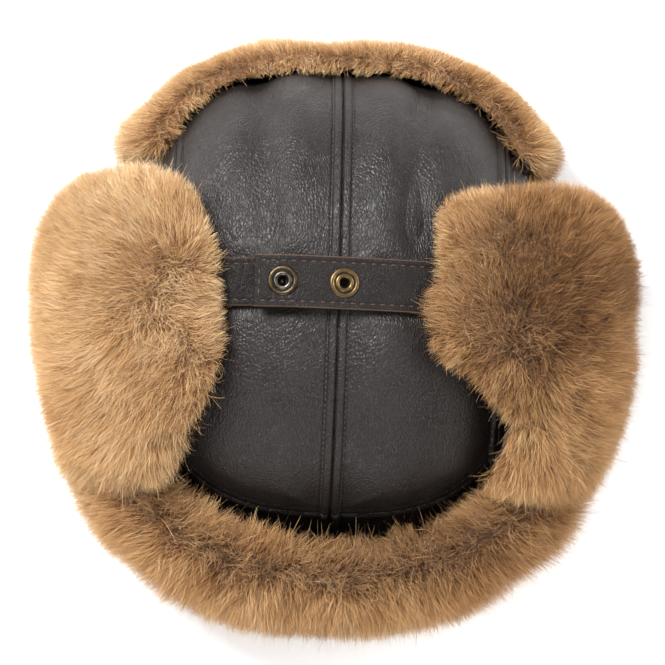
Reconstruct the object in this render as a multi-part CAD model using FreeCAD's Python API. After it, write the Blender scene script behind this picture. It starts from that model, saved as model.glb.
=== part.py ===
"""Shearling trapper hat with its ear flaps, neck flap and visor turned up round the crown.

Millimetres.  +Z is up, +Y is the front (the visor), +X is the wearer's right.  The origin is under the
middle of the hat's overall box, on the flat rim that the hat rests on.
"""
import FreeCAD
import Part

import math
import os

os.makedirs("parts", exist_ok=True)

# ---- driving dimensions ----
CROWN_Y = 14.5             # the crown's centre, in front of the middle of the overall box
CROWN_HALF_WIDTH = 106.0
CROWN_HALF_LENGTH = 121.0
CROWN_WALL_TOP = 20.0      # the crown's wall is upright up to here, and domed above
CROWN_TOP = 140.0
CROWN_PLAN_POWER = 2.8     # superellipse power of the crown's outline seen from above
CROWN_DOME_POWER = 2.4     # superellipse power of the crown's outline seen from the front
SKIN = 1.5                 # hide thickness
LINING_WOOL = 21.0         # pile inside the crown
RIM_THICK = 3.0            # flat rim under the crown
RIM_OVERHANG = 3.0         # how far the rim stands out past the crown's leather

SIDE_SEAM_X = 84.0         # the two seams that run front to back
BACK_SEAM_Z = 78.0         # the seam that runs across the back
BACK_PANELS_Y = -30.0      # the back panels lie behind this, from the crown's centre
STITCH_PROUD = 0.5         # height of a row of topstitching
STITCH_WIDTH = 0.8
STITCH_OFFSET = 5.0        # each row's distance from its seam
STITCH_INSET = 3.0         # each row's distance from a strap's edge

FLAP_FOOT = 4.6            # lowest edge of every turned-up flap
FLAP_BULGE_Z = 55.0        # height where the ear flaps and neck flap are widest
FLAP_SKIN_FOOT = (114.0, 130.0)   # half width and half length of the flaps' leather at the foot
FLAP_SKIN_BULGE = (126.0, 134.0)  # and where they are widest
FLAP_SKIN_TOP = 142.0
FLAP_WOOL_FOOT = (140.0, 154.0)
FLAP_WOOL_BULGE = (154.0, 169.0)
FLAP_WOOL_TOP = 163.0
FLAP_PLAN_POWER = 2.3
FLAP_DOME_POWER = 2.2
EAR_BACK_Y = -92.0         # from the crown's centre
FLAP_GAP = 3.0             # between one flap and the next
EAR_BEND_Z = 104.0         # where an ear flap bends in over the crown
NECK_TOP_Z = 84.0

# Half of each ear flap's outline from above, counted from the crown's centre, front to back.
LEFT_EAR_OUTLINE = [
    (-180, 69), (-100, 69), (-82, 61), (-68, 42), (-60, 18),
    (-54, -20), (-60, -48), (-68, -64), (-82, -78), (-98, EAR_BACK_Y), (-180, EAR_BACK_Y),
]
RIGHT_EAR_OUTLINE = [
    (180, 62), (100, 62), (82, 60), (62, 55), (52, 42), (46, 18),
    (46, -24), (54, -38), (72, -44), (86, -54), (98, -70), (104, EAR_BACK_Y), (180, EAR_BACK_Y),
]

VISOR_GAP = 3.5            # between the crown and the turned-up visor
VISOR_WOOL = 12.0
VISOR_TOP_Z = 74.0
VISOR_BACK_Y = 75.0        # from the crown's centre

STRAP_WIDTH = 26.0
UNDER_STRAP_WIDTH = 24.0
PLY = 1.5                  # each strap is two plies of leather
# Underside of each strap as (x, z), from its sewn end to its free end.
RIGHT_STRAP_LINE = [
    (45.6, 135.4), (26.0, 140.4), (2.0, 144.4), (-14.0, 146.5), (-28.0, 146.5), (-42.0, 143.8),
]
LEFT_STRAP_LINE = [(-56.6, 131.1), (-46.0, 134.6), (-28.0, 140.0), (-13.0, 142.2)]
TAB_LENGTH = 28.0          # the stretch of each strap that is sewn under its flap

SNAP_X = (-28.0, 2.0)      # the two snaps on the right strap; the first meets the one on the left strap
SNAP_CAP_RADIUS = 7.6
SNAP_CAP_HEIGHT = 1.2
SNAP_POST_RADIUS = 3.2
SNAP_HOLE_RADIUS = 2.1
SNAP_SOCKET_RADIUS = 6.0
SNAP_SOCKET_HEIGHT = 1.4
SNAP_STUD_RADIUS = 4.4

LOOSE = 0.4                # clearance between pieces that move apart


def vec(x, y, z):
    return FreeCAD.Vector(x, y, z)


def box(x_range, y_range, z_range):
    sides = [high - low for low, high in (x_range, y_range, z_range)]
    return Part.makeBox(*sides, vec(x_range[0], y_range[0], z_range[0]))


def outline(half_width, half_length, power, z, points=32):
    """A closed superellipse about the crown's centre at height z."""
    ring = []
    for step in range(points):
        angle = 2 * math.pi * step / points
        cosine, sine = math.cos(angle), math.sin(angle)
        x = math.copysign(abs(cosine) ** (2 / power), cosine) * half_width
        y = math.copysign(abs(sine) ** (2 / power), sine) * half_length
        ring.append(vec(x, CROWN_Y + y, z))
    curve = Part.BSplineCurve()
    curve.interpolate(ring, PeriodicFlag=True)
    return Part.Wire([curve.toShape()])


def dome(levels, power):
    """A solid lofted through closed outlines; each level is (half width, half length, height)."""
    wires = [outline(width, length, power, z) for width, length, z in levels]
    return Part.makeLoft(wires, True, False)


def crown_body(inset, base=0.0):
    """The crown's solid, drawn in by inset all over."""
    width, length = CROWN_HALF_WIDTH - inset, CROWN_HALF_LENGTH - inset
    rise = CROWN_TOP - inset - CROWN_WALL_TOP
    levels = [(width, length, base), (width, length, (base + CROWN_WALL_TOP) / 2)]
    for degrees in (0, 12, 24, 36, 48, 60, 70, 78, 84):
        angle = math.radians(degrees)
        shrink = math.cos(angle) ** (2 / CROWN_DOME_POWER)
        height = CROWN_WALL_TOP + rise * math.sin(angle) ** (2 / CROWN_DOME_POWER)
        levels.append((width * shrink, length * shrink, height))
    return dome(levels, CROWN_PLAN_POWER)


def flap_body(foot, bulge, top):
    """The solid under one surface of the turned-up flaps: narrow at the foot, wide at the bulge."""
    levels = []
    for share in (0.0, 0.33, 0.67):
        ease = math.sin(share * math.pi / 2)
        width = foot[0] + (bulge[0] - foot[0]) * ease
        length = foot[1] + (bulge[1] - foot[1]) * ease
        levels.append((width, length, FLAP_FOOT + (FLAP_BULGE_Z - FLAP_FOOT) * share))
    for degrees in (0, 12, 24, 36, 48, 60, 70, 78, 84):
        angle = math.radians(degrees)
        shrink = math.cos(angle) ** (2 / FLAP_DOME_POWER)
        height = FLAP_BULGE_Z + (top - FLAP_BULGE_Z) * math.sin(angle) ** (2 / FLAP_DOME_POWER)
        levels.append((bulge[0] * shrink, bulge[1] * shrink, height))
    return dome(levels, FLAP_PLAN_POWER)


def prism(points, z_low, z_high):
    """An upright prism over an outline of (x, y) points, y counted from the crown's centre."""
    corners = [vec(x, CROWN_Y + y, z_low) for x, y in points]
    wire = Part.makePolygon(corners + corners[:1])
    return Part.Face(wire).extrude(vec(0, 0, z_high - z_low))


def solids_of(shape):
    """The shape's solids without the slivers a cut may leave."""
    kept = [solid for solid in shape.Solids if solid.Volume > 1.0]
    return kept[0] if len(kept) == 1 else Part.makeCompound(kept)


parts = {}


def keep(name, shape):
    parts[name] = solids_of(shape)


# ---- crown: leather skin outside, wool inside, cut along the seams ----
BIG = 400.0
outer = crown_body(0.0)
under_skin = crown_body(SKIN)
cavity = crown_body(SKIN + LINING_WOOL, base=-1.0)
above_rim = box((-BIG, BIG), (-BIG, BIG), (RIM_THICK, BIG))

panels = {
    "left_top_panel": box((-SIDE_SEAM_X, 0), (-BIG, BIG), (-1, BIG)),
    "right_top_panel": box((0, SIDE_SEAM_X), (-BIG, BIG), (-1, BIG)),
    "left_side_panel": box((-BIG, -SIDE_SEAM_X), (-BIG, BIG), (-1, BIG)),
    "right_side_panel": box((SIDE_SEAM_X, BIG), (-BIG, BIG), (-1, BIG)),
}
back_region = box((-SIDE_SEAM_X, SIDE_SEAM_X), (-BIG, CROWN_Y + BACK_PANELS_Y), (-1, BACK_SEAM_Z))
skin_shell = outer.cut(under_skin).common(above_rim)
wool_shell = under_skin.cut(cavity).common(above_rim)
for name, region in panels.items():
    if "top" in name:
        region = region.cut(back_region)
    keep("crown_" + name, skin_shell.common(region))
    keep("crown_" + name.replace("panel", "lining"), wool_shell.common(region))
for side, half in (("left", (-SIDE_SEAM_X, 0)), ("right", (0, SIDE_SEAM_X))):
    region = back_region.common(box(half, (-BIG, BIG), (-1, BIG)))
    keep(f"crown_{side}_back_band", skin_shell.common(region))
    keep(f"crown_{side}_back_lining", wool_shell.common(region))

# The flat rim that joins leather and lining, and that the hat stands on.
rim_outer = dome(
    [(CROWN_HALF_WIDTH + RIM_OVERHANG, CROWN_HALF_LENGTH + RIM_OVERHANG, z) for z in (0, RIM_THICK)],
    CROWN_PLAN_POWER,
)
rim_inner = dome(
    [(CROWN_HALF_WIDTH - SKIN - LINING_WOOL, CROWN_HALF_LENGTH - SKIN - LINING_WOOL, z)
     for z in (-1, RIM_THICK + 1)],
    CROWN_PLAN_POWER,
)
keep("rim_fold", rim_outer.cut(rim_inner))

# ---- topstitching: a low row each side of every seam ----
proud_shell = crown_body(-STITCH_PROUD).cut(outer).common(above_rim)

def stitch_rows_along(x):
    rows = [
        box((x + side * STITCH_OFFSET - STITCH_WIDTH / 2, x + side * STITCH_OFFSET + STITCH_WIDTH / 2),
            (-BIG, BIG), (RIM_THICK, BIG))
        for side in (-1, 1)
    ]
    return Part.makeCompound(rows)


keep("centre_seam_stitching", proud_shell.common(stitch_rows_along(0.0)))
keep("left_seam_stitching", proud_shell.common(stitch_rows_along(-SIDE_SEAM_X)))
keep("right_seam_stitching", proud_shell.common(stitch_rows_along(SIDE_SEAM_X)))
back_row = box(
    (-SIDE_SEAM_X + 2 * STITCH_OFFSET, SIDE_SEAM_X - 2 * STITCH_OFFSET),
    (-BIG, CROWN_Y + BACK_PANELS_Y),
    (BACK_SEAM_Z - STITCH_OFFSET, BACK_SEAM_Z - STITCH_OFFSET + STITCH_WIDTH),
)
keep("back_seam_stitching", proud_shell.common(back_row).cut(parts["centre_seam_stitching"]))

# ---- flaps: a leather skin that faces the crown, and wool outside it ----
flap_hollow = flap_body(FLAP_SKIN_FOOT, FLAP_SKIN_BULGE, FLAP_SKIN_TOP)
flap_hide = flap_body(
    *[(width + SKIN, length + SKIN) for width, length in (FLAP_SKIN_FOOT, FLAP_SKIN_BULGE)],
    FLAP_SKIN_TOP + SKIN,
)
flap_fleece = flap_body(FLAP_WOOL_FOOT, FLAP_WOOL_BULGE, FLAP_WOOL_TOP)
flap_layers = {"leather": flap_hide.cut(flap_hollow), "wool": flap_fleece.cut(flap_hide)}

for side, ear_outline in (("left", LEFT_EAR_OUTLINE), ("right", RIGHT_EAR_OUTLINE)):
    ear_wall = prism(ear_outline, 0, EAR_BEND_Z)
    ear_lobe = prism(ear_outline, EAR_BEND_Z + LOOSE, BIG)
    for layer, shell in flap_layers.items():
        keep(f"{side}_ear_flap_{layer}", shell.common(ear_wall))
        keep(f"{side}_ear_lobe_{layer}", shell.common(ear_lobe))

neck_region = box((-BIG, BIG), (-BIG, CROWN_Y + EAR_BACK_Y - FLAP_GAP), (0, NECK_TOP_Z))
for layer, shell in flap_layers.items():
    keep(f"neck_flap_{layer}", shell.common(neck_region))

visor_region = box((-BIG, BIG), (CROWN_Y + VISOR_BACK_Y, BIG), (FLAP_FOOT, VISOR_TOP_Z))
visor_inside = crown_body(-VISOR_GAP)
visor_hide = crown_body(-VISOR_GAP - SKIN)
visor_fleece = crown_body(-VISOR_GAP - SKIN - VISOR_WOOL)
keep("visor_leather", visor_hide.cut(visor_inside).common(visor_region))
keep("visor_wool", visor_fleece.cut(visor_hide).common(visor_region))


# ---- straps: two plies each, curved over the crown ----
def ribbon(line, low, high, width):
    """A strap's layer: the strip from low to high above the line (x, z), centred on the crown's middle."""
    start_y = CROWN_Y - width / 2
    under = Part.BSplineCurve()
    under.interpolate([vec(x, start_y, z + low) for x, z in line])
    over = Part.BSplineCurve()
    over.interpolate([vec(x, start_y, z + high) for x, z in line])
    ends = [
        Part.makeLine(under.StartPoint, over.StartPoint),
        Part.makeLine(under.EndPoint, over.EndPoint),
    ]
    wire = Part.Wire(Part.__sortEdges__([under.toShape(), over.toShape()] + ends))
    return Part.Face(wire).extrude(vec(0, width, 0))


def height_on(line, x):
    """Height of a strap's underside at x."""
    curve = Part.BSplineCurve()
    curve.interpolate([vec(px, 0, z) for px, z in line])
    crossing = curve.toShape().common(box((x - 0.01, x + 0.01), (-1, 1), (0, BIG)))
    return crossing.Vertexes[0].Point.z


def tube(x, z_low, z_high, radius, bore):
    """An upright tube on the straps' centre line."""
    centre = vec(x, CROWN_Y, z_low)
    wall = Part.makeCylinder(radius, z_high - z_low, centre)
    return wall.cut(Part.makeCylinder(bore, z_high - z_low + 2, vec(x, CROWN_Y, z_low - 1)))


right_caps = []
right_sockets = []
for x in SNAP_X:
    underside = height_on(RIGHT_STRAP_LINE, x)
    top = underside + 2 * PLY
    cap = tube(x, top, top + SNAP_CAP_HEIGHT, SNAP_CAP_RADIUS, SNAP_HOLE_RADIUS)
    post = tube(x, underside, top, SNAP_POST_RADIUS, SNAP_HOLE_RADIUS)
    right_caps.append(cap.fuse(post))
    right_sockets.append(
        tube(x, underside - SNAP_SOCKET_HEIGHT, underside, SNAP_SOCKET_RADIUS, SNAP_HOLE_RADIUS)
    )
snap_floor = height_on(LEFT_STRAP_LINE, SNAP_X[0])
left_post = tube(SNAP_X[0], snap_floor, snap_floor + 2 * PLY, SNAP_POST_RADIUS, SNAP_HOLE_RADIUS).fuse(
    tube(SNAP_X[0], snap_floor - PLY / 2, snap_floor, SNAP_SOCKET_RADIUS, SNAP_HOLE_RADIUS)
)
left_stud_top = height_on(RIGHT_STRAP_LINE, SNAP_X[0]) - SNAP_SOCKET_HEIGHT - LOOSE
left_stud = tube(SNAP_X[0], snap_floor + 2 * PLY, left_stud_top, SNAP_STUD_RADIUS, SNAP_HOLE_RADIUS)

straps = {
    "left": (LEFT_STRAP_LINE, UNDER_STRAP_WIDTH, SNAP_X[:1], [left_post, left_stud]),
    "right": (RIGHT_STRAP_LINE, STRAP_WIDTH, SNAP_X, right_caps + right_sockets),
}
for side, (line, width, snaps, fittings) in straps.items():
    holes = [
        Part.makeCylinder(SNAP_POST_RADIUS, 8 * PLY, vec(x, CROWN_Y, height_on(line, x) - 3 * PLY))
        for x in snaps
    ]
    keep(f"{side}_strap_backing", ribbon(line, 0, PLY, width).cut(holes + fittings))
    keep(f"{side}_strap", ribbon(line, PLY, 2 * PLY, width).cut(holes + fittings))
    stitches = ribbon(line, 2 * PLY, 2 * PLY + STITCH_PROUD, width - 2 * STITCH_INSET)
    stitches = stitches.cut(ribbon(line, PLY, 4 * PLY, width - 2 * STITCH_INSET - 2 * STITCH_WIDTH))
    keep(f"{side}_strap_stitching", stitches)
keep("right_strap_snap_caps", Part.makeCompound(right_caps))
keep("right_strap_snap_sockets", Part.makeCompound(right_sockets))
keep("left_strap_snap_post", left_post)
keep("left_strap_snap_stud", left_stud)

# The sewn end of each strap lies against the underside of its flap's leather.
tab_layer = flap_hollow.cut(
    flap_body(*[(width - 2 * PLY, length - 2 * PLY) for width, length in (FLAP_SKIN_FOOT, FLAP_SKIN_BULGE)],
              FLAP_SKIN_TOP - 2 * PLY)
)
for side, (line, width, snaps, fittings) in straps.items():
    start = line[0][0]
    near = start + math.copysign(LOOSE, start)
    far = start + math.copysign(TAB_LENGTH, start)
    region = box(
        (min(near, far), max(near, far)),
        (CROWN_Y - width / 2, CROWN_Y + width / 2),
        (EAR_BEND_Z, BIG),
    )
    keep(f"{side}_strap_tab", tab_layer.common(region))

for name, shape in parts.items():
    shape.exportStep(f"parts/{name}.step")
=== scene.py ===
"""The looks of a shearling trapper hat: leather, wool, stitching and snaps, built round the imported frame.

Shapes are worked out in millimetres in the row frame and turned into metres when a mesh is made.
"""

import math

import bpy
import numpy as np
from mathutils import Matrix, Vector, kdtree


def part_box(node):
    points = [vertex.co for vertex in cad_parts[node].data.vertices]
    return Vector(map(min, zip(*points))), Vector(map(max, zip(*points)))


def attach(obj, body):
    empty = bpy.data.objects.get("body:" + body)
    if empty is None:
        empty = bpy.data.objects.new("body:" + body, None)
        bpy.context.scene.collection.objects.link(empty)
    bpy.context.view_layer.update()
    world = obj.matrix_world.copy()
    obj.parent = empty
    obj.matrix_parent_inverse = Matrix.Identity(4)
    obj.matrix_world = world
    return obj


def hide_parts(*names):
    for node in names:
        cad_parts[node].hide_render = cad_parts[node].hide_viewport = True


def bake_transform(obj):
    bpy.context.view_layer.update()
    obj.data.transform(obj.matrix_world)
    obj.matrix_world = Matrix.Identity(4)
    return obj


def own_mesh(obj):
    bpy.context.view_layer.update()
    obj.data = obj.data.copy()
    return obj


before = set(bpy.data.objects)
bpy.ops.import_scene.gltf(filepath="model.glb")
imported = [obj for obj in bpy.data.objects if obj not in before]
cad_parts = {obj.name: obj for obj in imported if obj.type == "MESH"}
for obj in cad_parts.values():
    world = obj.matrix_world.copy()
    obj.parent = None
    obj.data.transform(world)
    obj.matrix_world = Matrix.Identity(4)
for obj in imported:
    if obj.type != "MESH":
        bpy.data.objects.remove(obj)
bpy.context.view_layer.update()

MM = 0.001


def box_mm(node):
    """Lowest and highest corner of a CAD node, in millimetres."""
    low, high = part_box(node)
    return np.array(low) / MM, np.array(high) / MM


# ---- sizes read from the frame ----
_, side_high = box_mm("crown_right_side_panel")
_, top_high = box_mm("crown_right_top_panel")
band_low, band_high = box_mm("crown_right_back_band")
_, rim_high = box_mm("rim_fold")
_, ear_skin_high = box_mm("right_ear_flap_leather")
ear_wool_low, ear_wool_high = box_mm("right_ear_flap_wool")
neck_skin_low, _ = box_mm("neck_flap_leather")
neck_wool_low, neck_wool_high = box_mm("neck_flap_wool")
_, visor_high = box_mm("visor_wool")
_, visor_skin_high = box_mm("visor_leather")
strap_low, strap_high = box_mm("right_strap")
under_low, under_high = box_mm("left_strap")

CROWN_A = side_high[0]
CROWN_B = (top_high[1] - band_low[1]) / 2
CROWN_Y = (top_high[1] + band_low[1]) / 2
CROWN_TOP = top_high[2]
WALL_TOP = 20.0
RIM_TOP = rim_high[2]
PLAN_POWER = 2.8
DOME_POWER = 2.4
SEAM_X = band_high[0]
BAND_TOP = band_high[2]
STITCH_OFFSET = 5.0

SKIN = 1.5
FOOT = ear_wool_low[2]
BULGE_Z = 55.0
FLAP_PLAN = 2.3
FLAP_DOME = 2.2
SKIN_BULGE = (ear_skin_high[0] - SKIN, CROWN_Y - neck_skin_low[1] - SKIN)
WOOL_BULGE = (ear_wool_high[0], CROWN_Y - neck_wool_low[1])
SKIN_FOOT = (SKIN_BULGE[0] - 12.0, SKIN_BULGE[1] - 4.0)
HIDE_BULGE = (SKIN_BULGE[0] + SKIN, SKIN_BULGE[1] + SKIN)
HIDE_FOOT = (SKIN_FOOT[0] + SKIN, SKIN_FOOT[1] + SKIN)
WOOL_FOOT = (WOOL_BULGE[0] - 14.0, WOOL_BULGE[1] - 15.0)
SKIN_TOP = 142.0
WOOL_TOP = 163.0
NECK_TOP = neck_wool_high[2]
VISOR_TOP = visor_high[2]
VISOR_GAP = visor_skin_high[1] - top_high[1] - SKIN


# ---- numbers ----
def smooth(edge0, edge1, x):
    """A soft step from 0 at edge0 to 1 at edge1."""
    share = np.clip((x - edge0) / (edge1 - edge0), 0, 1)
    return share * share * (3 - 2 * share)


def lattice(ix, iy, iz, seed):
    """A repeatable random number in 0..1 for each whole-number cell."""
    mixed = (
        ix.astype(np.int64) * 73856093
        ^ iy.astype(np.int64) * 19349663
        ^ iz.astype(np.int64) * 83492791
        ^ np.int64(seed) * 2654435761
    )
    mixed = (mixed ^ (mixed >> 13)) * 1274126177
    mixed = mixed ^ (mixed >> 16)
    return (mixed & 0xFFFFFF) / float(0xFFFFFF)


def noise(points, size, seed=0):
    """Smooth value noise in -1..1 at points (n, 3), with features about size across."""
    scaled = points / size
    cell = np.floor(scaled).astype(np.int64)
    part = scaled - cell
    part = part * part * (3 - 2 * part)
    total = np.zeros(len(points))
    for dx in (0, 1):
        for dy in (0, 1):
            for dz in (0, 1):
                weight = (
                    np.abs(1 - dx - part[:, 0]) * np.abs(1 - dy - part[:, 1]) * np.abs(1 - dz - part[:, 2])
                )
                total += weight * lattice(cell[:, 0] + dx, cell[:, 1] + dy, cell[:, 2] + dz, seed)
    return total * 2 - 1


def unit(vectors):
    """Vectors scaled to length one."""
    return vectors / np.maximum(np.linalg.norm(vectors, axis=-1, keepdims=True), 1e-9)


def grid_normals(grid):
    """Normals of a grid of points (rows, columns, 3)."""
    along = np.gradient(grid, axis=0)
    across = np.gradient(grid, axis=1)
    return unit(np.cross(along, across))


def resample(line, count):
    """count points evenly spaced along a polyline (n, 3)."""
    steps = np.r_[0, np.cumsum(np.linalg.norm(np.diff(line, axis=0), axis=1))]
    wanted = np.linspace(0, steps[-1], count)
    return np.stack([np.interp(wanted, steps, line[:, k]) for k in range(3)], axis=1)


# ---- meshes ----
def new_object(name, points, quads, materials, slots=None):
    """A mesh object from points in millimetres and a (n, 4) array of quads."""
    mesh = bpy.data.meshes.new(name)
    mesh.vertices.add(len(points))
    mesh.vertices.foreach_set("co", (np.asarray(points) * MM).astype(np.float32).ravel())
    mesh.loops.add(quads.size)
    mesh.loops.foreach_set("vertex_index", quads.astype(np.int32).ravel())
    mesh.polygons.add(len(quads))
    mesh.polygons.foreach_set("loop_start", np.arange(0, quads.size, 4, dtype=np.int32))
    mesh.polygons.foreach_set("loop_total", np.full(len(quads), 4, dtype=np.int32))
    if slots is not None:
        mesh.polygons.foreach_set("material_index", slots.astype(np.int32))
    for material in materials:
        mesh.materials.append(material)
    mesh.update(calc_edges=True)
    mesh.validate()
    mesh.polygons.foreach_set("use_smooth", np.ones(len(mesh.polygons), dtype=bool))
    made = bpy.data.objects.new(name, mesh)
    bpy.context.scene.collection.objects.link(made)
    return made


def grid_quads(rows, columns, offset=0, wrap=False):
    """Quads over a grid of points stored row by row; wrap joins the last column to the first."""
    across = columns if wrap else columns - 1
    row, column = np.meshgrid(np.arange(rows - 1), np.arange(across), indexing="ij")
    row, column = row.ravel(), column.ravel()
    beside = (column + 1) % columns
    first = row * columns + column
    second = (row + 1) * columns + column
    third = (row + 1) * columns + beside
    fourth = row * columns + beside
    return np.stack([first, second, third, fourth], axis=1) + offset


def shell(outside, inside):
    """A closed thick sheet between two grids of the same size: points and quads."""
    rows, columns = outside.shape[:2]
    count = rows * columns
    points = np.concatenate([outside.reshape(-1, 3), inside.reshape(-1, 3)])
    top = grid_quads(rows, columns)
    bottom = grid_quads(rows, columns, count)[:, ::-1]
    index = np.arange(count).reshape(rows, columns)
    loop = np.concatenate([index[0, :], index[1:, -1], index[-1, -2::-1], index[-2:0:-1, 0]])
    beside = np.roll(loop, -1)
    walls = np.stack([loop, beside, beside + count, loop + count], axis=1)
    return points, np.concatenate([top, bottom, walls])


def joined(parts):
    """Several (points, quads) as one."""
    points, quads, offset = [], [], 0
    for part_points, part_quads in parts:
        points.append(part_points)
        quads.append(part_quads + offset)
        offset += len(part_points)
    return np.concatenate(points), np.concatenate(quads)


def settle(piece, place, slot, *stands_for):
    """Put a piece on its body and hide the CAD nodes it stands for; slot is not used."""
    place(piece)
    if stands_for:
        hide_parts(*stands_for)


def ride_on(body):
    """A placing that makes a piece ride on one body."""
    return lambda piece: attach(piece, body)


on_crown = ride_on("crown")


# ---- materials ----
def material(name, colour, roughness):
    """A plain material: itself, its node tree and its shader."""
    made = bpy.data.materials.new(name)
    made.use_nodes = True
    shader = made.node_tree.nodes["Principled BSDF"]
    shader.inputs["Base Color"].default_value = (*colour, 1)
    shader.inputs["Roughness"].default_value = roughness
    return made, made.node_tree, shader


def add(tree, kind, **settings):
    """A new node with the given settings."""
    node = tree.nodes.new(kind)
    for key, value in settings.items():
        setattr(node, key, value)
    return node


def link(tree, source, output, target, socket):
    """Join an output of one node to a socket of another."""
    tree.links.new(source.outputs[output], target.inputs[socket])


def noise_node(tree, place, scale, detail=3.0, roughness=0.5):
    """A noise texture that is fixed to the object."""
    node = add(tree, "ShaderNodeTexNoise")
    node.inputs["Scale"].default_value = scale
    node.inputs["Detail"].default_value = detail
    node.inputs["Roughness"].default_value = roughness
    link(tree, place, "Object", node, "Vector")
    return node


def ramp(tree, source, output, stops):
    """A colour ramp through (position, colour) stops."""
    node = add(tree, "ShaderNodeValToRGB")
    elements = node.color_ramp.elements
    while len(elements) < len(stops):
        elements.new(0.5)
    for element, (position, colour) in zip(elements, stops):
        element.position = position
        element.color = (*colour, 1)
    link(tree, source, output, node, "Fac")
    return node


def to_range(tree, source, output, low, high, from_low=0.0, from_high=1.0):
    """A value carried from one range into another."""
    node = add(tree, "ShaderNodeMapRange")
    node.inputs["From Min"].default_value = from_low
    node.inputs["From Max"].default_value = from_high
    node.inputs["To Min"].default_value = low
    node.inputs["To Max"].default_value = high
    link(tree, source, output, node, "Value")
    return node


def bump(tree, source, output, depth):
    """A bump node of the given depth, in millimetres, from a height."""
    node = add(tree, "ShaderNodeBump")
    node.inputs["Strength"].default_value = 1.0
    node.inputs["Distance"].default_value = depth * MM
    link(tree, source, output, node, "Height")
    return node


def leather_material(name, dark, light, roughness, grain_size, grain_depth, wrinkle_depth, shine):
    """Nappa: a pebbled grain, patches of fine wrinkles, and colour that lightens where it is rubbed."""
    made, tree, shader = material(name, dark, roughness)
    place = add(tree, "ShaderNodeTexCoord")
    mottle = noise_node(tree, place, 38.0, detail=5.0)
    colour = ramp(tree, mottle, "Fac", [(0.30, dark), (0.72, light)])
    link(tree, colour, "Color", shader, "Base Color")
    gloss = noise_node(tree, place, 90.0, detail=4.0)
    rough = to_range(tree, gloss, "Fac", roughness - 0.08, roughness + 0.10, 0.3, 0.7)
    link(tree, rough, "Result", shader, "Roughness")
    wander = noise_node(tree, place, 60.0, detail=2.0)
    swirl = add(tree, "ShaderNodeVectorMath", operation="MULTIPLY_ADD")
    swirl.inputs[1].default_value = (0.006, 0.006, 0.006)
    link(tree, wander, "Color", swirl, 0)
    link(tree, place, "Object", swirl, 2)
    cells = add(tree, "ShaderNodeTexVoronoi", feature="DISTANCE_TO_EDGE")
    cells.inputs["Scale"].default_value = 1 / (grain_size * MM)
    slant = add(tree, "ShaderNodeMapping")
    slant.inputs["Rotation"].default_value = (0.1, 0.1, -0.3)
    slant.inputs["Scale"].default_value = (1.0, 0.55, 0.8)
    link(tree, swirl, "Vector", slant, "Vector")
    link(tree, slant, "Vector", cells, "Vector")
    pebbles = to_range(tree, cells, "Distance", 0.0, 1.0, 0.0, 0.30)
    first = bump(tree, pebbles, "Result", grain_depth)
    stretch = add(tree, "ShaderNodeMapping")
    stretch.inputs["Rotation"].default_value = (0.15, 0.1, 0.12)
    stretch.inputs["Scale"].default_value = (1.0, 0.28, 0.6)
    link(tree, swirl, "Vector", stretch, "Vector")
    creases = add(tree, "ShaderNodeTexNoise")
    creases.inputs["Scale"].default_value = 520.0
    creases.inputs["Detail"].default_value = 3.0
    link(tree, stretch, "Vector", creases, "Vector")
    patches = noise_node(tree, place, 26.0, detail=2.0)
    where = to_range(tree, patches, "Fac", 0.30, 1.0, 0.38, 0.66)
    deep = add(tree, "ShaderNodeMath", operation="MULTIPLY")
    link(tree, creases, "Fac", deep, 0)
    link(tree, where, "Result", deep, 1)
    second = bump(tree, deep, "Value", wrinkle_depth)
    link(tree, first, "Normal", second, "Normal")
    link(tree, second, "Normal", shader, "Normal")
    shader.inputs["Specular IOR Level"].default_value = shine
    return made


def metal_material(name, dark, light, roughness):
    """Worn plate: darker in patches, brighter where it is rubbed."""
    made, tree, shader = material(name, light, roughness)
    shader.inputs["Metallic"].default_value = 1.0
    place = add(tree, "ShaderNodeTexCoord")
    patches = noise_node(tree, place, 420.0, detail=6.0, roughness=0.65)
    colour = ramp(tree, patches, "Fac", [(0.34, dark), (0.66, light)])
    link(tree, colour, "Color", shader, "Base Color")
    rough = to_range(tree, patches, "Fac", roughness + 0.12, roughness - 0.06, 0.3, 0.7)
    link(tree, rough, "Result", shader, "Roughness")
    return made


def fleece_material(name, dark, light):
    """The dense pile below the strands."""
    made, tree, shader = material(name, light, 0.95)
    place = add(tree, "ShaderNodeTexCoord")
    clumps = noise_node(tree, place, 260.0, detail=6.0, roughness=0.7)
    colour = ramp(tree, clumps, "Fac", [(0.35, dark), (0.65, light)])
    link(tree, colour, "Color", shader, "Base Color")
    link(tree, bump(tree, clumps, "Fac", 1.5), "Normal", shader, "Normal")
    return made


def strand_material(name, colour):
    """One tone of wool strand."""
    made, _, shader = material(name, colour, 0.55)
    shader.inputs["Sheen Weight"].default_value = 0.25
    shader.inputs["Sheen Roughness"].default_value = 0.4
    shader.inputs["Specular IOR Level"].default_value = 0.3
    return made


def thread_material(name, colour):
    """Thread with its twist."""
    made, tree, shader = material(name, colour, 0.6)
    place = add(tree, "ShaderNodeTexCoord")
    twist = add(tree, "ShaderNodeTexWave", wave_type="BANDS", bands_direction="DIAGONAL")
    twist.inputs["Scale"].default_value = 900.0
    link(tree, place, "Object", twist, "Vector")
    link(tree, bump(tree, twist, "Fac", 0.1), "Normal", shader, "Normal")
    return made


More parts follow.
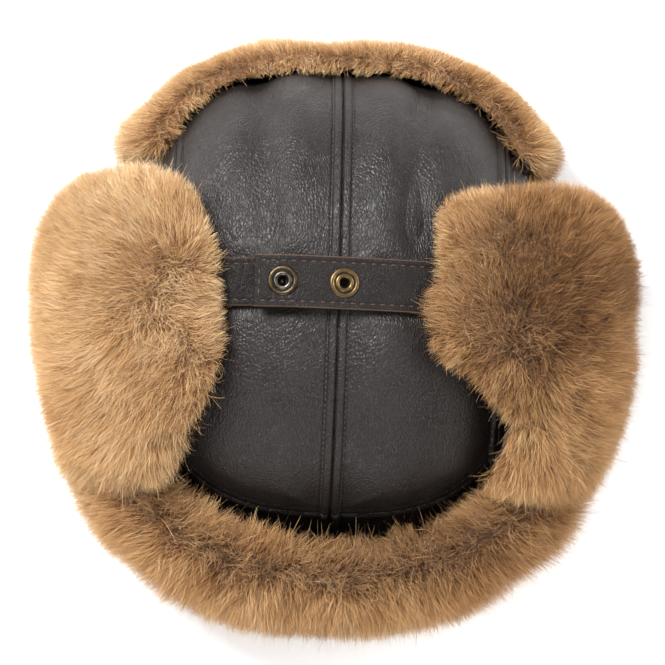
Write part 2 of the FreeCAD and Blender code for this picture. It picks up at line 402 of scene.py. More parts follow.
LEATHER = leather_material(
    "leather", (0.0110, 0.0080, 0.0072), (0.018, 0.0134, 0.0120), 0.46, 1.35, 0.20, 0.60, shine=0.40
)
STRAP_LEATHER = leather_material(
    "strap_leather", (0.0070, 0.0048, 0.0041), (0.012, 0.0083, 0.0070), 0.52, 0.85, 0.17, 0.10, shine=0.24
)
# Cut edges of the straps, also used as a painted highlight line along the rim of the straps' top faces.
RAW_EDGE_AND_HIGHLIGHT = leather_material(
    "raw_edge_and_highlight", (0.060, 0.034, 0.023), (0.105, 0.066, 0.046), 0.85, 0.6, 0.08, 0.10, shine=0.2
)
BRASS = metal_material("snap_brass", (0.095, 0.062, 0.028), (0.235, 0.160, 0.078), 0.36)
OLD_BRASS = metal_material("snap_old_brass", (0.032, 0.023, 0.013), (0.095, 0.068, 0.040), 0.38)
GUNMETAL = metal_material("snap_steel", (0.030, 0.025, 0.020), (0.16, 0.14, 0.12), 0.32)
THREAD = thread_material("thread", (0.085, 0.045, 0.031))
FLEECE = fleece_material("fleece", (0.16, 0.075, 0.028), (0.36, 0.19, 0.08))
# Wool tones from darkest to palest; the darkest go at the roots, partly as painted shade deep in the pile.
TONES = [
    strand_material(f"wool_tone_{index}", colour)
    for index, colour in enumerate(
        [
            (0.17, 0.072, 0.023),
            (0.30, 0.142, 0.048),
            (0.44, 0.233, 0.088),
            (0.57, 0.335, 0.145),
            (0.68, 0.450, 0.225),
            (0.78, 0.585, 0.350),
        ]
    )
]


# ---- the crown's surface ----
def crown_shrink(z):
    """How far the crown's outline has drawn in at height z, from 1 at the wall to 0 at the top."""
    share = np.clip((z - WALL_TOP) / (CROWN_TOP - WALL_TOP), 0, 1)
    return (1 - share**DOME_POWER) ** (1 / DOME_POWER)


def crown_height(shrink):
    """The height at which the crown's outline has drawn in to shrink."""
    share = (1 - np.clip(shrink, 0, 1) ** DOME_POWER) ** (1 / DOME_POWER)
    return WALL_TOP + (CROWN_TOP - WALL_TOP) * share


def crown_slice(x, count, part=None):
    """Points on the crown at one x, from the front rim over the top to the back rim.

    Part "above" stops at the back seam and part "below" starts there.
    """
    reach = abs(x / CROWN_A) ** PLAN_POWER
    depth = CROWN_B * (1 - reach) ** (1 / PLAN_POWER)
    turn = np.linspace(0, math.pi, 500)
    y = depth * np.sign(np.cos(turn)) * np.abs(np.cos(turn)) ** (2 / DOME_POWER)
    shrink = (reach + np.abs(y / CROWN_B) ** PLAN_POWER) ** (1 / PLAN_POWER)
    z = crown_height(shrink)
    wall = np.linspace(RIM_TOP, WALL_TOP, 8)[:-1]
    y = np.r_[np.full(len(wall), depth), y, np.full(len(wall), -depth)]
    z = np.r_[wall, z, wall[::-1]]
    line = np.stack([np.full(len(y), float(x)), CROWN_Y + y, z], axis=1)
    last = len(z) - 1 - np.argmax(z[::-1] > BAND_TOP)
    if part == "above":
        line = line[: last + 1]
    if part == "below":
        line = line[last:]
    return resample(line, count)


def side_column(y, side, count):
    """Points on a side panel at one y (from the crown's centre), from the rim up to the side seam."""
    reach = abs(y / CROWN_B) ** PLAN_POWER
    seam = (SEAM_X / CROWN_A) ** PLAN_POWER
    top = crown_height((seam + reach) ** (1 / PLAN_POWER))
    z = np.linspace(RIM_TOP, top, 300)
    left = np.maximum(crown_shrink(z) ** PLAN_POWER - reach, seam)
    x = side * CROWN_A * left ** (1 / PLAN_POWER)
    line = np.stack([x, np.full(len(z), CROWN_Y + y), z], axis=1)
    return resample(line, count)


SEAM_GROOVE = 1.5
SEAM_RIDGE = 1.3
STITCH_DIMPLE = 0.8
PANEL_PUFF = 2.2
TROUGH_X = 40.0
TROUGH_DEPTH = 4.5
LIFT_UNDER_STRAP = 0.9
HOLLOW_X = 52.0
HOLLOW_DEPTH = 1.6
BULGE_X, BULGE_Y = 20.0, -34.0
BULGE_HEIGHT = 1.6
SLOW_WAVE = 1.6
LONG_WAVE = 0.4
LONG_STRETCH = np.array([1.0, 0.35, 0.8])


def seam_profile(distance):
    """Height across a topstitched seam: a groove, raised edges, and a dimple at the thread."""
    groove = -SEAM_GROOVE * np.exp(-((distance / 0.7) ** 2))
    ridge = SEAM_RIDGE * (1 - smooth(STITCH_OFFSET - 1.2, STITCH_OFFSET + 0.6, distance))
    dimple = -STITCH_DIMPLE * np.exp(-(((distance - STITCH_OFFSET) / 0.8) ** 2))
    return groove + ridge + dimple


def crown_relief(points, normals):
    """How far the leather stands off the plain dome at each point."""
    across = np.sqrt(np.maximum(1 - normals[:, 0] ** 2, 0.05))
    upright = np.sqrt(np.maximum(1 - normals[:, 2] ** 2, 0.05))
    x, y, z = points.T
    middle = np.abs(x)
    side = np.abs(np.abs(x) - SEAM_X) / across
    lift = seam_profile(middle) + seam_profile(side)
    behind = (y < CROWN_Y - 30) & (np.abs(x) <= SEAM_X)
    band = np.where(behind, np.abs(z - BAND_TOP) / upright, 99.0)
    lift += np.where(z < BAND_TOP, 1.0, 0.35) * seam_profile(band) * smooth(0, 3, middle)
    nearest = np.minimum(np.minimum(middle, side), band)
    lift += PANEL_PUFF * smooth(4, 24, nearest)
    trough = TROUGH_X + 4.0 * noise(points, 40.0, 12) - np.abs(x)
    lift -= TROUGH_DEPTH * np.exp(-((trough / 9.0) ** 2)) * smooth(4, 34, y - CROWN_Y)
    hollow = np.exp(-(((x - HOLLOW_X) / 12) ** 2)) * smooth(-12, -40, y - CROWN_Y)
    lift -= HOLLOW_DEPTH * hollow * smooth(3, 20, nearest)
    bulge = np.exp(-(((x - BULGE_X) / 16) ** 2 + ((y - CROWN_Y - BULGE_Y) / 26) ** 2))
    lift += BULGE_HEIGHT * bulge * smooth(5, 14, nearest)
    lift += SLOW_WAVE * noise(points, 46.0, 1) * smooth(6, 30, nearest)
    lift += LONG_WAVE * noise(points * LONG_STRETCH, 18.0, 2) * smooth(4, 20, nearest)
    under_strap = (1 - smooth(11, 20, np.abs(y - CROWN_Y))) * smooth(90, 110, z)
    return lift - under_strap * np.maximum(lift - LIFT_UNDER_STRAP, 0)


def relieved(grid, outward=1.0):
    """A crown grid pushed out by its relief."""
    normals = grid_normals(grid) * outward
    flat, flat_normals = grid.reshape(-1, 3), normals.reshape(-1, 3)
    lifted = flat + flat_normals * crown_relief(flat, flat_normals)[:, None]
    return lifted.reshape(grid.shape), normals


def seam_spacing(near, far, count):
    """Steps from near to far that are finer beside both ends, where the seams are."""
    share = np.linspace(0, 1, count)
    eased = share - 0.11 * np.sin(2 * math.pi * share)
    return near + (far - near) * eased


def crown_panels():
    """The crown's six leather panels, each a thick sheet."""
    made = []
    for side, name in ((-1, "left"), (1, "right")):
        across = seam_spacing(0.0, SEAM_X, 110)
        for part, rows, label in (("above", 300, "top_panel"), ("below", 80, "back_band")):
            grid = np.stack([crown_slice(side * x, rows, part) for x in across], axis=1)
            made.append((f"{name}_{label}", grid, side))
        reach = CROWN_B * (1 - (SEAM_X / CROWN_A) ** PLAN_POWER) ** (1 / PLAN_POWER)
        columns = np.linspace(-reach * 0.9995, reach * 0.9995, 160)
        grid = np.stack([side_column(y, side, 110) for y in columns], axis=1)
        made.append((f"{name}_side_panel", grid, -side))
    pieces = []
    for name, grid, outward in made:
        outside, normals = relieved(grid, outward)
        inside = grid - normals * SKIN
        points, quads = shell(outside, inside) if outward > 0 else flipped(shell(outside, inside))
        piece = new_object(f"crown_{name}_leather", points, quads, [LEATHER])
        settle(piece, on_crown, "leather", f"crown_{name}")
        pieces.append(piece)
    return pieces


def flipped(part):
    """The same part with its quads facing the other way."""
    points, quads = part
    return points, quads[:, ::-1]


# ---- stitches ----
def stitch_run(line, normals, pitch, length, width, height):
    """Stitches laid along a line: rounded beads of thread, each sunk at its ends."""
    steps = np.r_[0, np.cumsum(np.linalg.norm(np.diff(line, axis=0), axis=1))]
    starts = np.arange(pitch / 2, steps[-1] - length, pitch)
    around, rings = 6, 5
    beads = []
    for start in starts:
        at = start + np.linspace(0, 1, rings) * length
        centre = np.stack([np.interp(at, steps, line[:, k]) for k in range(3)], axis=1)
        up = unit(np.stack([np.interp(at, steps, normals[:, k]) for k in range(3)], axis=1))
        ahead = unit(np.gradient(centre, axis=0))
        beside = unit(np.cross(ahead, up))
        swell = np.sin(np.linspace(0.12, math.pi - 0.12, rings))[:, None]
        centre = centre + up * (swell - 0.75) * height
        ring = []
        for turn in np.linspace(0, 2 * math.pi, around, endpoint=False):
            ring.append(
                centre + swell * (beside * math.cos(turn) * width / 2 + up * math.sin(turn) * height / 2)
            )
        points = np.stack(ring, axis=1).reshape(-1, 3)
        quads = grid_quads(rings, around, wrap=True)
        first = np.arange(around)
        last = first + (rings - 1) * around
        caps = [first[[0, 1, 2, 3]], first[[3, 4, 5, 0]], last[[3, 2, 1, 0]], last[[0, 5, 4, 3]]]
        beads.append((points, np.concatenate([quads, np.array(caps)])))
    return joined(beads)


# Pitch, length, width and height of a stitch.
CROWN_STITCH = (3.0, 2.3, 0.7, 0.55)
STRAP_STITCH = (5.0, 3.4, 0.8, 0.6)
SIDE_OFFSET = 5.6
# How much x changes per millimetre of leather at the side seams.
SEAM_SLOPE = 0.62


def crown_line(x):
    """A line on the relieved crown at constant x, with its normals."""
    spread = 0.4
    lines = np.stack([crown_slice(x + dx, 420) for dx in (-spread, 0, spread)], axis=1)
    outside, normals = relieved(lines, 1.0)
    return outside[:, 1], normals[:, 1]


def beside_seam(side, distance):
    """x of the line that lies distance from the side seam along the leather, below it if negative."""
    return side * (SEAM_X - distance * SEAM_SLOPE)


def crown_stitching():
    """Thread on both sides of the centre, left and right seams, and below the back seam."""
    rows = {
        "centre_seam_stitching": [STITCH_OFFSET, -STITCH_OFFSET],
        "left_seam_stitching": [beside_seam(-1, SIDE_OFFSET), beside_seam(-1, -SIDE_OFFSET)],
        "right_seam_stitching": [beside_seam(1, SIDE_OFFSET), beside_seam(1, -SIDE_OFFSET)],
    }
    for name, places in rows.items():
        runs = []
        for x in places:
            line, normals = crown_line(x)
            runs.append(stitch_run(line, normals, *CROWN_STITCH))
        piece = new_object(f"{name}_thread", *joined(runs), [THREAD])
        settle(piece, on_crown, "thread", name)
    columns = np.linspace(-SEAM_X + 8, SEAM_X - 8, 260)
    level = BAND_TOP - STITCH_OFFSET
    band = np.stack([back_point(columns, level + dz) for dz in (-0.4, 0, 0.4)], axis=1)
    outside, normals = relieved(band, 1.0)
    if normals[len(columns) // 2, 1, 1] > 0:
        outside, normals = relieved(band, -1.0)
    run = stitch_run(outside[:, 1], normals[:, 1], *CROWN_STITCH)
    piece = new_object("back_seam_stitching_thread", *run, [THREAD])
    settle(piece, on_crown, "thread", "back_seam_stitching")


def back_point(x, z):
    """Points on the back of the crown at height z."""
    shrink = crown_shrink(np.full_like(x, z))
    y = CROWN_B * (shrink**PLAN_POWER - np.abs(x / CROWN_A) ** PLAN_POWER) ** (1 / PLAN_POWER)
    return np.stack([x, CROWN_Y - y, np.full_like(x, z)], axis=1)


# ---- wool: a body of pile with strands growing from it ----
HILL_SIZE = 24.0
LEAST_PILE = 0.8


class Patch:
    """A stretch of fleece: where its skin is, where its pile stands, and which way the strands grow.

    Rounding gives the radius of each edge that is rounded off, and depth the share of the thickness
    that is solid pile. Tuck turns the strands of the top edge back over it, and swell is the height
    of the pile's hills.
    """

    def __init__(self, skin, outer, rounding, depth, name, tuck=0.0, swell=2.0):
        self.name = name
        self.skin = skin
        rows, columns = skin.shape[:2]
        thick = outer - skin
        length = np.linalg.norm(thick, axis=-1, keepdims=True)
        up = thick / np.maximum(length, 1e-6)
        along_v = unit(np.gradient(skin, axis=0))
        along_u = unit(np.gradient(skin, axis=1))
        v_steps = np.cumsum(np.linalg.norm(np.diff(skin, axis=0, prepend=skin[:1]), axis=-1), axis=0)
        u_steps = np.cumsum(np.linalg.norm(np.diff(skin, axis=1, prepend=skin[:, :1]), axis=-1), axis=1)
        gaps = {
            "foot": v_steps,
            "top": v_steps[-1:] - v_steps,
            "start": u_steps,
            "end": u_steps[:, -1:] - u_steps,
        }
        ways = {"foot": -along_v, "top": along_v, "start": -along_u, "end": along_u}
        fullness = np.ones((rows, columns))
        lean = np.zeros_like(skin)
        tucked = np.zeros((rows, columns, 1))
        for edge, radius in rounding.items():
            inward = np.clip(gaps[edge] / radius, 0, 1)
            fullness = fullness * np.sqrt(np.maximum(1 - (1 - inward) ** 2, 0.0))
            lean += ways[edge] * ((1 - inward) ** 1.5)[..., None]
            if edge == "top":
                tucked = ((1 - inward) ** 3)[..., None] * tuck
        hills = noise((skin + 7.0).reshape(-1, 3), HILL_SIZE, len(name)).reshape(rows, columns, 1)
        raised = length * (0.06 + depth * fullness[..., None]) + swell * hills * fullness[..., None]
        self.body = skin + up * np.maximum(raised, LEAST_PILE)
        self.way = unit(up * (0.30 + 0.70 * fullness[..., None] - tucked) + 0.95 * lean)
        self.reach = length[..., 0] * (1.22 - depth) * (0.66 + 0.34 * fullness)


def grown_points(patch, count, random):
    """Random places on a patch, evenly by area: position, growing direction and length."""
    body = patch.body
    diagonal = body[1:, 1:] - body[:-1, :-1]
    other = body[1:, :-1] - body[:-1, 1:]
    area = np.linalg.norm(np.cross(diagonal, other), axis=-1).ravel()
    chosen = np.searchsorted(np.cumsum(area) / area.sum(), random.random(count))
    columns = body.shape[1] - 1
    row, column = chosen // columns, chosen % columns
    a, b = random.random(count), random.random(count)

    def mix(values):
        flat = values.reshape(values.shape[0], values.shape[1], -1)
        weights = [(1 - a) * (1 - b), a * (1 - b), (1 - a) * b, a * b]
        corners = [flat[row + down, column + over] for over in (0, 1) for down in (0, 1)]
        return sum(weight[:, None] * corner for weight, corner in zip(weights, corners))

    return mix(patch.body), unit(mix(patch.way)), mix(patch.reach[..., None])[:, 0]


SEGMENTS = 4
SHARES = np.linspace(0, 1, SEGMENTS + 1)


def curves(roots, ways, lengths, droop, random, wobble):
    """Curved strands (n, segments + 1, 3) that start along ways and bend with droop."""
    count = len(roots)
    aside = random.normal(size=(count, 3)) * wobble
    points = np.zeros((count, SEGMENTS + 1, 3))
    points[:, 0] = roots
    for step in range(1, SEGMENTS + 1):
        share = SHARES[step]
        heading = unit(ways + (droop + aside) * share)
        points[:, step] = points[:, step - 1] + heading * (lengths / SEGMENTS)[:, None]
    return points


def nearest(roots, guides):
    """For each root, the index of the closest guide root."""
    tree = kdtree.KDTree(len(guides))
    for index, point in enumerate(guides):
        tree.insert(point, index)
    tree.balance()
    return np.array([tree.find(point)[1] for point in roots])


def gathered(own, guides, chosen, amount):
    """Strands drawn towards their guides, more at the tips than at the roots."""
    pull = (amount[:, None] * SHARES[None, :] ** 1.4)[..., None]
    return own + pull * (guides[chosen] - own)


def field(points, seed, size):
    """A smooth vector field, for the way the wool is combed."""
    return np.stack([noise(points, size, seed + k) for k in range(3)], axis=1)


def combed(roots, ways, seed, amount, scatter, random):
    """Growing directions swayed by a slow field, so that neighbours lean the same way."""
    sway = 0.75 * field(roots, seed + 11, 46.0) + 0.45 * field(roots, seed + 17, 17.0)
    return unit(ways + amount * sway + scatter * random.normal(size=roots.shape))


STRANDS_PER_LOCK = 500
STRANDS_PER_TUFT = 26
STRAY_SHARE = 0.07
LOWEST = 0.6


def grow(patch, count, seed, width, tone, droop):
    """Strands over a patch in three scales: locks, tufts inside them, and single strands."""
    random = np.random.default_rng(seed)
    lock_count = max(40, count // STRANDS_PER_LOCK)
    tuft_count = max(200, count // STRANDS_PER_TUFT)
    droop = np.array(droop)

    roots, ways, lengths = grown_points(patch, lock_count, random)
    ways = combed(roots, ways, seed, 0.62, 0.26, random)
    locks = curves(roots, ways, lengths * random.uniform(0.95, 1.15, lock_count), droop, random, 0.15)
    lock_tone = random.normal(size=lock_count) * 0.22

    roots, ways, lengths = grown_points(patch, tuft_count, random)
    ways = combed(roots, ways, seed, 0.55, 0.20, random)
    tufts = curves(roots, ways, lengths * random.uniform(0.85, 1.12, tuft_count), droop, random, 0.25)
    of_lock = nearest(roots, locks[:, 0])
    tufts = gathered(tufts, locks, of_lock, random.uniform(0.10, 0.38, tuft_count))
    tuft_tone = lock_tone[of_lock] + random.normal(size=tuft_count) * 0.30

    roots, ways, lengths = grown_points(patch, count, random)
    ways = combed(roots, ways, seed, 0.62, 0.28, random)
    stray = random.random(count) < STRAY_SHARE
    lengths = lengths * random.uniform(0.72, 1.10, count) * np.where(stray, 1.3, 1.0)
    strands = curves(roots, ways, lengths, droop, random, np.where(stray, 0.7, 0.35)[:, None])
    of_tuft = nearest(roots, tufts[:, 0])
    strands = gathered(strands, tufts, of_tuft, np.where(stray, 0.1, random.uniform(0.25, 0.70, count)))
    turn = SHARES[None, :] * random.uniform(3, 9, count)[:, None] + random.uniform(0, 6.3, count)[:, None]
    curl = random.uniform(0.2, 0.9, count)[:, None] * np.sin(turn) * SHARES[None, :]
    strands += curl[..., None] * unit(random.normal(size=(count, 3)))[:, None, :]
    strands[..., 2] = np.maximum(strands[..., 2], LOWEST + 0.4 * random.random(count)[:, None])

    patchy = 0.5 * noise(roots, 19.0, seed + 3) + 0.5 * noise(roots, 42.0, seed + 5)
    shade = tuft_tone[of_tuft] + 0.5 * random.normal(size=count) + patchy + tone(roots)
    return strands, shade, random.uniform(*width, count)


def strand_mesh(strands, shade, widths, random):
    """Flat tapering ribbons, one per strand, and a wool tone for every face: dark at the root, partly as
    painted shade, and pale at the tip.
    """
    count = len(strands)
    along = unit(np.gradient(strands, axis=1))
    aside = unit(np.cross(along, unit(random.normal(size=(count, 3)))[:, None, :]))
    taper = np.array([1.0, 1.0, 0.85, 0.6, 0.16])
    half = (widths[:, None] * taper[None, :] / 2)[..., None]
    points = np.stack([strands - aside * half, strands + aside * half], axis=2)
    first = (np.arange(count) * (SEGMENTS + 1) * 2)[:, None] + np.arange(SEGMENTS)[None, :] * 2
    quads = np.stack([first, first + 1, first + 3, first + 2], axis=-1).reshape(-1, 4)
    # Tones step from dark at the root to pale at the tip: partly the wool's own paler tips, partly painted
    # shade deep in the pile.
    climb = np.array([0.9, 1.9, 2.9, 3.8])
    tones = np.clip(np.round(climb[None, :] + shade[:, None]), 0, len(TONES) - 1)
    return points.reshape(-1, 3), quads, tones.ravel()


STRANDS_PER_PIECE = 24000
FINE = (0.12, 0.27)


def plain(roots):
    """No change of tone."""
    return np.zeros(len(roots))


def fleece(patch, count, seed, place, stands_for=(), tone=plain, droop=(0.0, 0.0, -0.2), width=FINE):
    """The pile body and the strands of one patch, cut into pieces that move as place says."""
    under = patch.skin + (patch.body - patch.skin) * 0.02
    points, quads = shell(patch.body, under)
    body = new_object(f"{patch.name}_pile", points, quads, [FLEECE])
    pieces = [body]
    strands, shade, widths = grow(patch, count, seed, width, tone, droop)
    random = np.random.default_rng(seed + 1)
    share = math.ceil(count / STRANDS_PER_PIECE)
    for index in range(share):
        chosen = slice(index * count // share, (index + 1) * count // share)
        points, quads, tones = strand_mesh(strands[chosen], shade[chosen], widths[chosen], random)
        pieces.append(new_object(f"{patch.name}_strands_{index + 1}", points, quads, TONES, tones))
    for piece in pieces:
        place(piece)
    if stands_for:
        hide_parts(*stands_for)
    return pieces


# ---- the turned-up flaps ----
FOLD_TOP = 7.0
FOLD_LOW = 1.8
FOLD_THICKNESS = 1.2
FLOOR_GAP = 0.5
LIP_TOP = 4.6
LIP_LOW = 3.4
EAR_FOLD = 46.0
NECK_FOLD = 40.0
VISOR_FOLD = 25.0


def on_outline(along, half_along, half_across, power):
    """How far out a superellipse is, at places along its other axis."""
    return half_across * (1 - np.abs(along / half_along) ** power) ** (1 / power)


def lipped(inner, hide, reach):
    """A flap's two faces with a lip at the foot that closes the gap beside the crown; reach is (n, 3)."""
    lip = inner[:1] + reach[None]
    lip_inner, lip_hide = lip.copy(), lip.copy()
    lip_inner[..., 2] = LIP_TOP
    lip_hide[..., 2] = LIP_LOW
    return np.concatenate([lip_inner, inner]), np.concatenate([lip_hide, hide])


def hide_piece(name, faces, mirrored, place, *stands_for):
    """The leather sheet of a flap, turned so that its quads face outward."""
    part = flipped(shell(*faces)) if mirrored else shell(*faces)
    piece = new_object(name, *part, [LEATHER])
    settle(piece, place, "leather", *stands_for)


def crown_reach(foot, fold_half, sideways):
    """From a flap's foot in to the crown's wall, but only past the ends of the folded strip."""
    across, along = (0, 1) if sideways else (1, 0)
    half_along, half_across = (CROWN_B, CROWN_A) if sideways else (CROWN_A, CROWN_B)
    centred = foot - np.array([0, CROWN_Y, 0])
    place = np.clip(np.abs(centred[:, along]), 0, half_along - 1)
    wall = on_outline(place, half_along, half_across, PLAN_POWER) + 0.6
    past = smooth(fold_half - 4, fold_half + 2, place)
    reach = np.zeros_like(foot)
    gap = np.minimum(wall - np.abs(centred[:, across]), -0.3)
    reach[:, across] = np.sign(centred[:, across]) * gap * past
    return reach


LOW_SHARE = 0.33


def flap_level(v, foot, bulge, top, last_turn):
    """Half width, half length and height of a flap's surface at v, from the foot to the tip."""
    low = np.clip(v / LOW_SHARE, 0, 1)
    turn = np.clip((v - LOW_SHARE) / (1 - LOW_SHARE), 0, 1) * last_turn
    ease = np.sin(low * math.pi / 2)
    shrink = np.cos(turn) ** (2 / FLAP_DOME)
    width = (foot[0] + (bulge[0] - foot[0]) * ease) * shrink
    length = (foot[1] + (bulge[1] - foot[1]) * ease) * shrink
    rise = (top - BULGE_Z) * np.sin(turn) ** (2 / FLAP_DOME)
    height = FOOT + (BULGE_Z - FOOT) * low + rise
    return width, length, height


def ear_surface(side, u, v, foot, bulge, top, last_turn, y_ends, spread):
    """A grid on an ear flap: rows by v, columns by u from back to front."""
    rows = []
    for share in v:
        width, length, height = flap_level(share, foot, bulge, top, last_turn)
        skin_width, _, _ = flap_level(share, SKIN_FOOT, SKIN_BULGE, SKIN_TOP, EAR_TURN[side])
        back, front = y_ends(skin_width)
        middle = (back + front) / 2
        y = middle + (back + (front - back) * u - middle) * spread
        reach = np.minimum(np.abs(y / length), 0.995)
        x = side * width * (1 - reach**FLAP_PLAN) ** (1 / FLAP_PLAN)
        rows.append(np.stack([x, CROWN_Y + y, np.full_like(y, height)], axis=1))
    return np.array(rows)


EAR_TURN = {-1: math.radians(61.7), 1: math.radians(66.8)}
# Each ear flap's back and front ends, from the crown's centre, by how far out the flap's skin is.
EAR_ENDS = {
    -1: (
        [64, 70, 78, 88, 98, 110, 126],
        [-30, -42, -54, -64, -74, -88, -91],
        [10, 24, 38, 46, 50, 50, 47],
    ),
    1: (
        [54, 60, 70, 80, 90, 102, 110, 126],
        [-27, -32, -36, -42, -49, -60, -89, -91],
        [28, 37, 42, 44, 46, 47, 48, 45],
    ),
}


def ear_ends(side):
    """A function from the width of an ear flap's skin to its back and front ends."""
    width, back, front = EAR_ENDS[side]
    return lambda skin_width: (np.interp(skin_width, width, back), np.interp(skin_width, width, front))


SIDES = {-1: "left", 1: "right"}


def ear_place():
    """A placing for ear pieces: it bakes each piece's transform into its mesh."""

    def place(piece):
        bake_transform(piece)

    return place


def left_tone(roots):
    """The left flap is pale all over, and paler towards the front."""
    return 0.10 + 0.5 * smooth(0, 70, roots[:, 1])


def right_tone(roots):
    """The right flap has a dark brown patch at the middle of its outer half."""
    distance = np.hypot(roots[:, 0] - 116.0, (roots[:, 1] - 26.0) / 1.4)
    return -0.75 - 1.5 * (1 - smooth(12, 52, distance)) - 0.3 * smooth(20, -60, roots[:, 1])


EAR_TONE = {-1: left_tone, 1: right_tone}
# The wool of an ear flap fans out from this place on it, seen from above.
FAN_X, FAN_Y = 112.0, -12.0
FAN_REACH = 60.0
FAN_PULL = 0.85


def ear_flap(side):
    """One ear flap: its hide, and the wool on its outer face."""
    name = SIDES[side]
    u = np.linspace(0, 1, 90)
    v = np.linspace(0, 1, 110)
    turn = EAR_TURN[side]
    ends = ear_ends(side)
    inner = ear_surface(side, u, v, SKIN_FOOT, SKIN_BULGE, SKIN_TOP, turn, ends, 1.0)
    hide = ear_surface(side, u, v, HIDE_FOOT, HIDE_BULGE, SKIN_TOP + SKIN, turn, ends, 1.0)
    outer = ear_surface(side, u, v, WOOL_FOOT, WOOL_BULGE, WOOL_TOP, turn * 1.04, ends, 1.04)
    reach = crown_reach(inner[0], EAR_FOLD, True)
    hides_shown = (f"{name}_ear_flap_leather", f"{name}_ear_lobe_leather")
    hide_piece(f"{name}_ear_leather", lipped(inner, hide, reach), side > 0, ear_place(), *hides_shown)
    rounding = {"foot": 16.0, "top": 24.0, "start": 15.0, "end": 26.0}
    patch = Patch(hide, outer, rounding, 0.50, f"{name}_ear_wool", swell=3.2)
    spread = patch.skin[..., :2] - np.array([side * FAN_X, CROWN_Y + FAN_Y])
    fan = np.concatenate([spread / FAN_REACH, np.zeros_like(spread[..., :1])], axis=-1)
    patch.way = unit(patch.way + FAN_PULL * fan)
    if side > 0:
        near_tip = smooth(70, 54, np.abs(patch.skin[..., 0]))
        at_strap = np.exp(-(((patch.skin[..., 1] - CROWN_Y + 12) / 11) ** 2))
        patch.reach = patch.reach * (1 + 0.8 * near_tip * at_strap)
    nodes_shown = (f"{name}_ear_flap_wool", f"{name}_ear_lobe_wool")
    fleece(patch, EAR_STRANDS, 100 + side, ear_place(), nodes_shown, EAR_TONE[side])


def ring_surface(front, u, v, levels, power, cut):
    """A grid on the neck flap or visor: columns sweep round the back or front of the crown."""
    rows = []
    for share in v:
        width, length, height = levels(share)
        turn = u * math.acos(min(0.999, cut / length) ** (power / 2))
        x = width * np.sign(turn) * np.abs(np.sin(turn)) ** (2 / power)
        y = length * np.abs(np.cos(turn)) ** (2 / power)
        rows.append(np.stack([x, CROWN_Y + front * y, np.full_like(x, height)], axis=1))
    return np.array(rows)


def neck_levels(foot, bulge, top):
    """A function from a share of the neck flap's height to its half width, half length and height."""
    def levels(share):
        z = FOOT + (NECK_TOP - FOOT) * share
        low = np.clip((z - FOOT) / (BULGE_Z - FOOT), 0, 1)
        ease = np.sin(low * math.pi / 2)
        climb = np.clip((z - BULGE_Z) / (top - BULGE_Z), 0, 1)
        shrink = (1 - climb**FLAP_DOME) ** (1 / FLAP_DOME)
        width = (foot[0] + (bulge[0] - foot[0]) * ease) * shrink
        length = (foot[1] + (bulge[1] - foot[1]) * ease) * shrink
        return width, length, z

    return levels


NECK_CUT = 95.0
VISOR_CUT = 75.0
# The share of each flap's height that its leather covers; wool hides the rest of the edge.
NECK_HIDE_SHARE = 0.9
VISOR_HIDE_SHARE = 0.86


def neck_tone(roots):
    """The neck flap darkens towards the right."""
    return -0.25 - 0.5 * smooth(-40, 90, roots[:, 0])


def neck_flap():
    """The neck flap's hide and wool."""
    u = np.linspace(-1, 1, 150)
    v = np.linspace(0, 1, 60)
    low_v = v * NECK_HIDE_SHARE
    inner = ring_surface(-1, u, low_v, neck_levels(SKIN_FOOT, SKIN_BULGE, SKIN_TOP), FLAP_PLAN, NECK_CUT)
    hide_levels = neck_levels(HIDE_FOOT, HIDE_BULGE, SKIN_TOP + SKIN)
    hide = ring_surface(-1, u, v, hide_levels, FLAP_PLAN, NECK_CUT)
    outer = ring_surface(-1, u, v, neck_levels(WOOL_FOOT, WOOL_BULGE, WOOL_TOP), FLAP_PLAN, NECK_CUT)
    leather = ring_surface(-1, u, low_v, hide_levels, FLAP_PLAN, NECK_CUT)
    faces = lipped(inner, leather, crown_reach(inner[0], NECK_FOLD, False))
    hide_piece("neck_leather", faces, True, ride_on("neck_flap"), "neck_flap_leather")
    rounding = {"foot": 16.0, "top": 20.0, "start": 10.0, "end": 10.0}
    patch = Patch(hide, outer, rounding, 0.52, "neck_wool", tuck=0.9)
    fleece(patch, NECK_STRANDS, 210, ride_on("neck_flap"), ("neck_flap_wool",), neck_tone)


def visor_levels(gap):
    """The same for the visor, which follows the crown at a gap."""
    def levels(share):
        z = FOOT + (VISOR_TOP - FOOT) * share
        climb = np.clip((z - WALL_TOP) / (CROWN_TOP + gap - WALL_TOP), 0, 1)
        shrink = (1 - climb**DOME_POWER) ** (1 / DOME_POWER)
        return (CROWN_A + gap) * shrink, (CROWN_B + gap) * shrink, z

    return levels


def visor_tone(roots):
    """The visor is palest at its left end."""
    return 0.05 - 0.5 * smooth(-70, 90, roots[:, 0])


